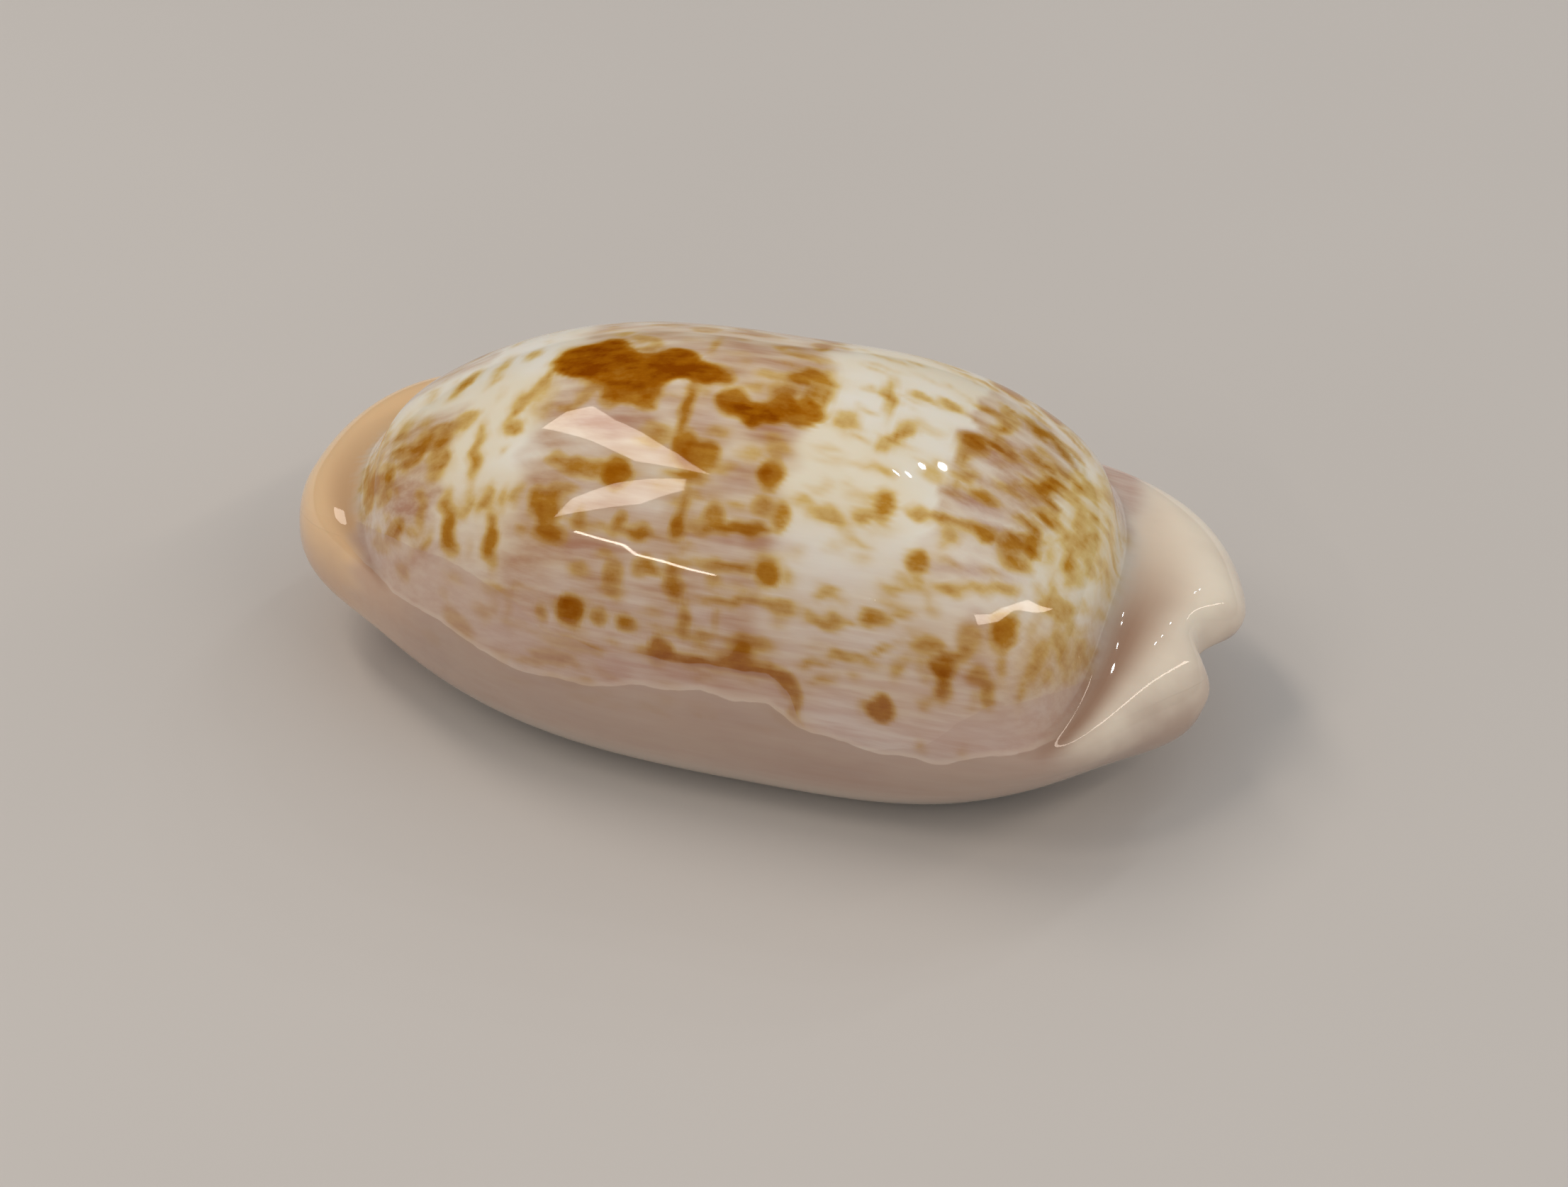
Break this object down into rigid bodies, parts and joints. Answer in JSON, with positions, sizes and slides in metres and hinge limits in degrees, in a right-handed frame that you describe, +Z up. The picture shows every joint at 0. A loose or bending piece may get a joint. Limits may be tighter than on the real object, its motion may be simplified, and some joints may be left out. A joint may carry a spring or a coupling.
{
  "type": "cowrie shell",
  "caption": "Glossy spotted cowrie shell with a narrow toothed slit underneath and a short notched spout at each end.",
  "frame": {"origin": "middle of the base in plan, on the surface the shell rests on", "axes": "+X along the shell toward its rear end, the end with the deep notch; +Y toward the outer lip; +Z up, toward the back of the shell"},
  "size_m": [0.0321, 0.0168, 0.013],
  "materials": {
    "shell_glaze": "glossy porcelain-like natural shell, cream with brown and mauve markings"
  },
  "bodies": {
    "root": {"shell": "shell_glaze"}
  },
  "joints": []
}
